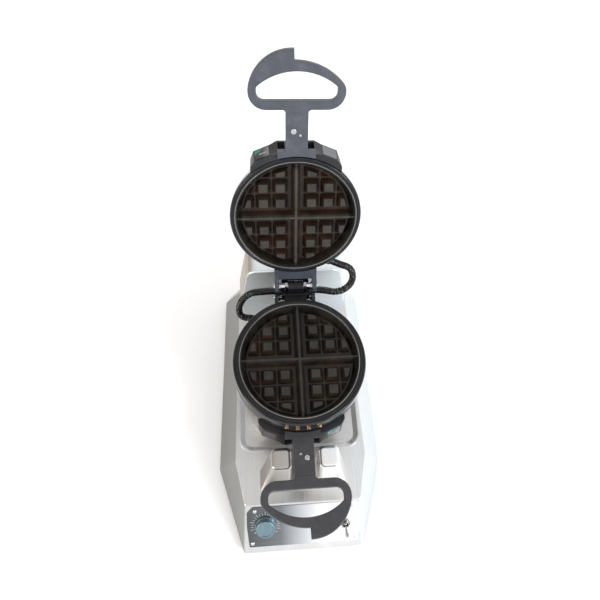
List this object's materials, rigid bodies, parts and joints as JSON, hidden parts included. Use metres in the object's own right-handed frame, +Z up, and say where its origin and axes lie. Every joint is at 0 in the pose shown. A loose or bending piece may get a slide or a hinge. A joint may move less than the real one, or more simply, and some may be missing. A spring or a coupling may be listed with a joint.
{
  "type": "double waffle maker",
  "caption": "Countertop double waffle maker: a centre plate with two hinged lids turns on a shaft in a rear tower, over a stainless base with a cradle for the handle.",
  "frame": {"origin": "centre of the machine's box, on the table under its feet", "axes": "+Z up, +Y to the rear tower, +X to the right seen from the control panel"},
  "size_m": [0.269, 0.542, 0.5363],
  "materials": {
    "base_steel": "brushed",
    "tower_steel": "brushed",
    "cradle_steel": "polished",
    "tray_steel": "satin",
    "lid_steel": "brushed",
    "plain_steel": "satin",
    "bright_steel": "polished",
    "switch_chrome": "polished",
    "panel_metal": "brushed, dark anodised",
    "knob_metal": "turned",
    "screw_brass": "satin",
    "bush_brass": "satin",
    "rim_black": "gloss black enamel",
    "band_black": "gloss black enamel",
    "grid_coating": "non-stick coating",
    "bracket_black": "black enamel",
    "handle_phenolic": "moulded phenolic",
    "hinge_metal": "satin blue-grey",
    "black_iron": "black painted",
    "conduit_sleeve": "gloss",
    "gland_plastic": "moulded",
    "inner_plastic": "moulded",
    "foot_rubber": "matte",
    "label_enamel": "enamelled",
    "side_metal": "satin"
  },
  "bodies": {
    "base": {"base_housing": "base_steel", "base_bottom_plate": "plain_steel", "rubber_feet": "foot_rubber", "bottom_screws": "bright_steel", "control_panel": "panel_metal", "panel_screws": "bright_steel", "thermostat_body": "inner_plastic", "toggle_switch": "switch_chrome", "front_cradle": "cradle_steel", "rear_tower": "tower_steel", "tower_rear_cover": "tower_steel", "cord_gland": "gland_plastic", "bearing_block": "black_iron", "shaft_bush": "bush_brass", "terminal_block": "inner_plastic"},
    "knob": {"thermostat_knob": "knob_metal", "knob_shaft": "bright_steel"},
    "toggle": {"toggle_lever": "switch_chrome"},
    "tray": {"drip_tray": "tray_steel"},
    "rotor": {"rotor_hub": "black_iron", "rotor_shaft": "bright_steel", "shaft_collar": "bright_steel", "centre_band": "band_black", "centre_grid_upper": "grid_coating", "centre_grid_lower": "grid_coating", "centre_element": "plain_steel", "band_screws": "screw_brass", "hub_glands": "gland_plastic", "upper_conduit": "conduit_sleeve", "lower_conduit": "conduit_sleeve"},
    "upper_lid": {"upper_lid_grid": "grid_coating", "upper_lid_rim": "rim_black", "upper_lid_shell": "lid_steel", "upper_lid_element": "plain_steel", "upper_lid_gland": "gland_plastic", "upper_lid_bracket": "bracket_black", "upper_lid_label_plate": "label_enamel", "upper_lid_side_plate": "side_metal", "upper_lid_handle": "handle_phenolic", "upper_lid_handle_rivets": "bright_steel", "upper_lid_hinge": "hinge_metal", "upper_lid_hinge_pin": "bright_steel", "upper_lid_hinge_nuts": "bright_steel"},
    "lower_lid": {"lower_lid_grid": "grid_coating", "lower_lid_rim": "rim_black", "lower_lid_shell": "lid_steel", "lower_lid_element": "plain_steel", "lower_lid_gland": "gland_plastic", "lower_lid_bracket": "bracket_black", "lower_lid_label_plate": "label_enamel", "lower_lid_side_plate": "side_metal", "lower_lid_handle": "handle_phenolic", "lower_lid_handle_rivets": "bright_steel", "lower_lid_hinge": "hinge_metal", "lower_lid_hinge_pin": "bright_steel", "lower_lid_hinge_nuts": "bright_steel"}
  },
  "joints": [
    {"name": "rotor_flip", "type": "hinge", "parent": "base", "child": "rotor", "pos_m": [0, 0.13998, 0.177], "axis": [0, 1, 0], "range_deg": [-15, 0]},
    {"name": "upper_lid_hinge", "type": "hinge", "parent": "rotor", "child": "upper_lid", "pos_m": [0, 0.10598, 0.1968], "axis": [1, 0, 0], "range_deg": [0, 115.4], "deforming": ["upper_conduit"]},
    {"name": "lower_lid_hinge", "type": "hinge", "parent": "rotor", "child": "lower_lid", "pos_m": [0, 0.10598, 0.1572], "axis": [1, 0, 0], "range_deg": [0, 5], "deforming": ["lower_conduit"]},
    {"name": "knob_turn", "type": "hinge", "parent": "base", "child": "knob", "pos_m": [-0.06, -0.23531, 0.04398], "axis": [0, -0.6893, 0.7244], "range_deg": [-270, 0]},
    {"name": "toggle_throw", "type": "hinge", "parent": "base", "child": "toggle", "pos_m": [0.066, -0.24136, 0.04236], "axis": [1, 0, 0], "range_deg": [-24, 0]},
    {"name": "tray_lift", "type": "slide", "parent": "base", "child": "tray", "axis": [0, 0, 1], "range_m": [0, 0.012]}
  ]
}
